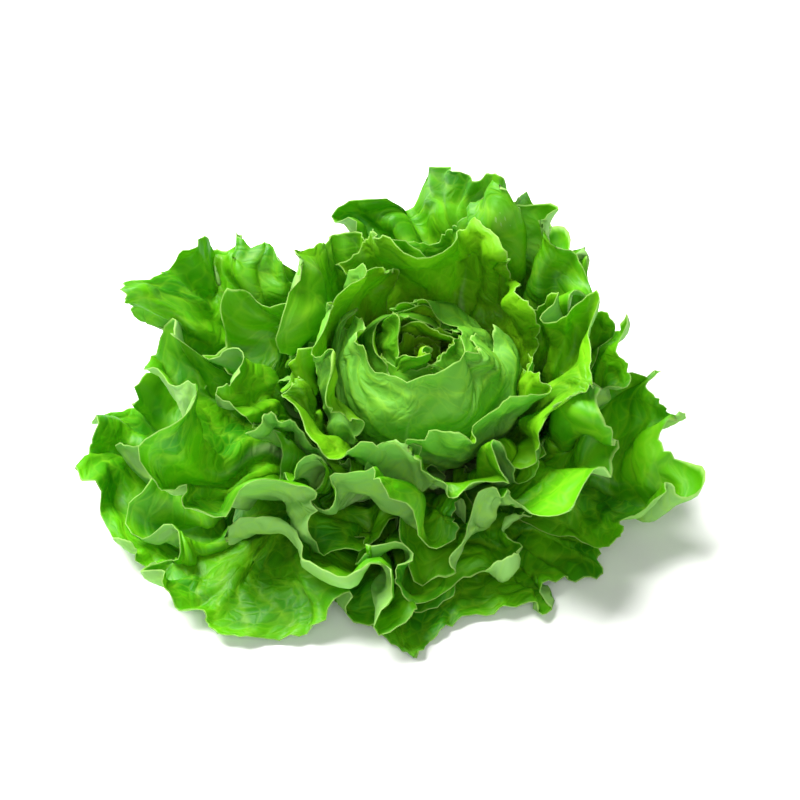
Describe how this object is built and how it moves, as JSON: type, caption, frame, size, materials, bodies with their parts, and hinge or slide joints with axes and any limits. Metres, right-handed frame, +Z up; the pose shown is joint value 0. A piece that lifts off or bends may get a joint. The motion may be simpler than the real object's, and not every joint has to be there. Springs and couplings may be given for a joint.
{
  "type": "lettuce",
  "caption": "Loose head of green leaf lettuce with a closed heart and wide frilled leaves, cut flat at the stem and resting on its cut end.",
  "frame": {"origin": "centre of the stem's flat cut end, on the table", "axes": "+Z up along the stem, -Y towards the front, where the picture was taken from, +X to the right"},
  "size_m": [0.292, 0.2552, 0.1276],
  "materials": {
    "outer_left": "fresh leaf, satin above and matt below",
    "outer_front_right": "fresh leaf, satin above and matt below",
    "outer_back": "fresh leaf, satin above and matt below",
    "outer_front_left": "fresh leaf, satin above and matt below",
    "outer_right": "fresh leaf, satin above and matt below",
    "outer_back_left": "fresh leaf, satin above and matt below",
    "outer_front": "fresh leaf, satin above and matt below",
    "outer_back_right": "fresh leaf, satin above and matt below",
    "outer_front_mid": "fresh leaf, satin above and matt below",
    "mid_left": "fresh leaf, satin above and matt below",
    "mid_right": "fresh leaf, satin above and matt below",
    "mid_front_left": "fresh leaf, satin above and matt below",
    "mid_back": "fresh leaf, satin above and matt below",
    "mid_front_right": "fresh leaf, satin above and matt below",
    "mid_front": "fresh leaf, satin above and matt below",
    "mid_back_right": "fresh leaf, satin above and matt below",
    "mid_side_left": "fresh leaf, satin above and matt below",
    "mid_front_mid": "fresh leaf, satin above and matt below",
    "inner_back_left": "fresh leaf, satin above and matt below",
    "inner_right": "fresh leaf, satin above and matt below",
    "inner_front_left": "fresh leaf, satin above and matt below",
    "inner_back": "fresh leaf, satin above and matt below",
    "inner_front_right": "fresh leaf, satin above and matt below",
    "inner_left": "fresh leaf, satin above and matt below",
    "heart_front": "fresh leaf, satin above and matt below",
    "heart_back_right": "fresh leaf, satin above and matt below",
    "heart_back_left": "fresh leaf, satin above and matt below",
    "heart_right": "fresh leaf, satin above and matt below",
    "heart_left": "fresh leaf, satin above and matt below",
    "heart_back": "fresh leaf, satin above and matt below",
    "heart_inner_front": "fresh leaf, satin above and matt below",
    "heart_inner_left": "fresh leaf, satin above and matt below",
    "heart_bud": "fresh leaf, satin above and matt below",
    "stem": "pale, moist and smooth"
  },
  "bodies": {
    "root": {"outer_left": "outer_left", "outer_front_right": "outer_front_right", "outer_back": "outer_back", "outer_front_left": "outer_front_left", "outer_right": "outer_right", "outer_back_left": "outer_back_left", "outer_front": "outer_front", "outer_back_right": "outer_back_right", "outer_front_mid": "outer_front_mid", "mid_left": "mid_left", "mid_right": "mid_right", "mid_front_left": "mid_front_left", "mid_back": "mid_back", "mid_front_right": "mid_front_right", "mid_front": "mid_front", "mid_back_right": "mid_back_right", "mid_side_left": "mid_side_left", "mid_front_mid": "mid_front_mid", "inner_back_left": "inner_back_left", "inner_right": "inner_right", "inner_front_left": "inner_front_left", "inner_back": "inner_back", "inner_front_right": "inner_front_right", "inner_left": "inner_left", "heart_front": "heart_front", "heart_back_right": "heart_back_right", "heart_back_left": "heart_back_left", "heart_right": "heart_right", "heart_left": "heart_left", "heart_back": "heart_back", "heart_inner_front": "heart_inner_front", "heart_inner_left": "heart_inner_left", "heart_bud": "heart_bud", "stem": "stem"}
  },
  "joints": []
}
